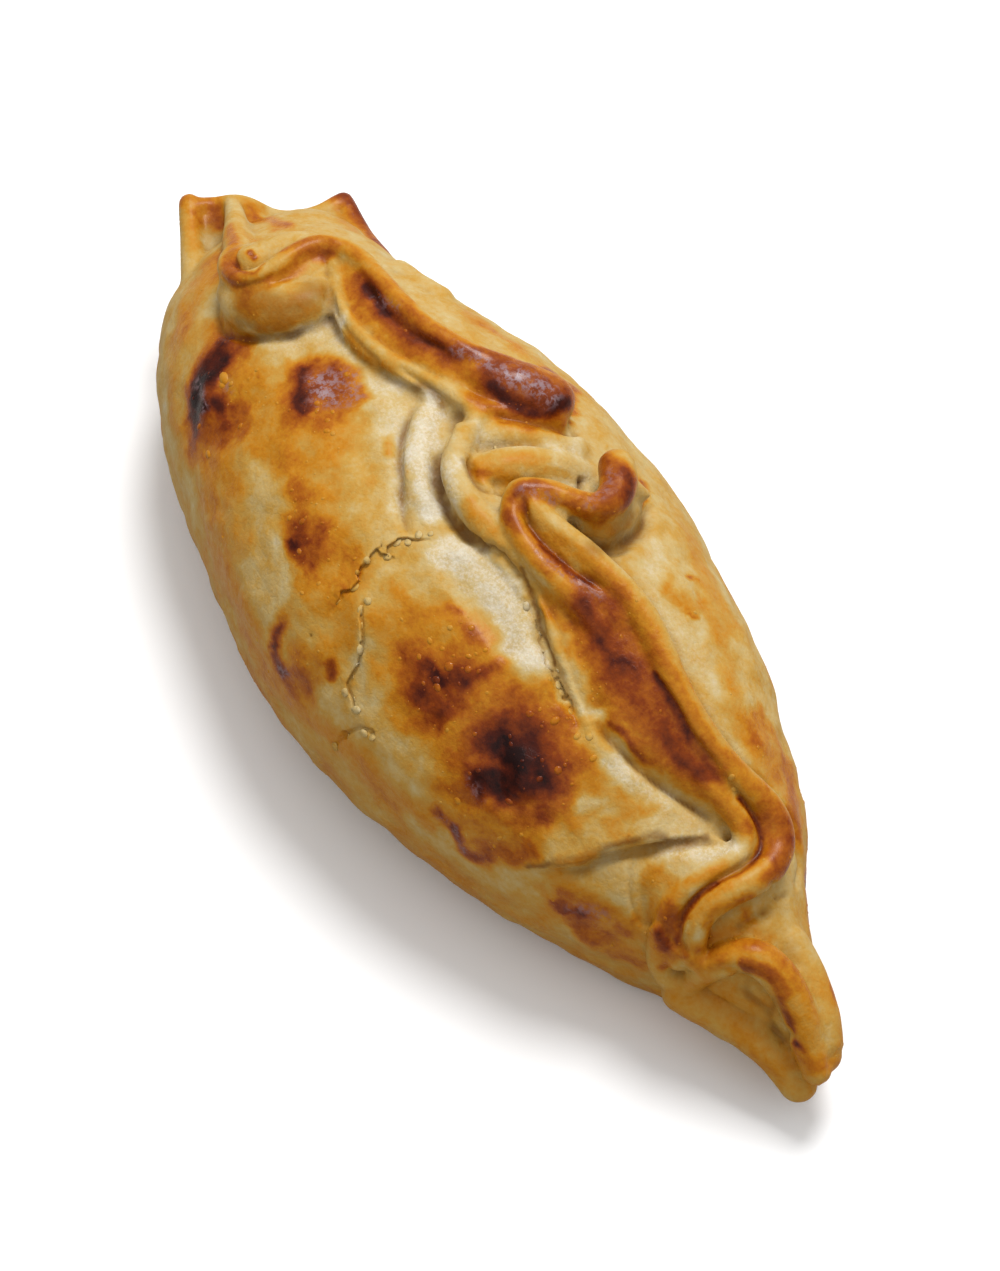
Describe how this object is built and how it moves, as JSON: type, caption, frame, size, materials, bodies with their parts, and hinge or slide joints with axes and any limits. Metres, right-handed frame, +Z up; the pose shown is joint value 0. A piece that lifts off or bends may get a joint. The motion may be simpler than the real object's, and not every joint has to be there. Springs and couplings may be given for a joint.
{
  "type": "empanada",
  "caption": "Baked hand pie of folded dough: a boat-shaped golden crust with its sealed edge gathered over the top in loose S-shaped folds.",
  "frame": {"origin": "centre of the bounding box seen from above, at the height of the flat base", "axes": "+X along the empanada from the flared tail to the pinched tip, +Z up from the flat base"},
  "size_m": [0.1488, 0.0572, 0.0462],
  "materials": {
    "baked_dough": "egg-washed baked wheat dough, from pale cream through golden to dark brown blistered spots, satin to glossy"
  },
  "bodies": {
    "root": {"crust": "baked_dough"}
  },
  "joints": []
}
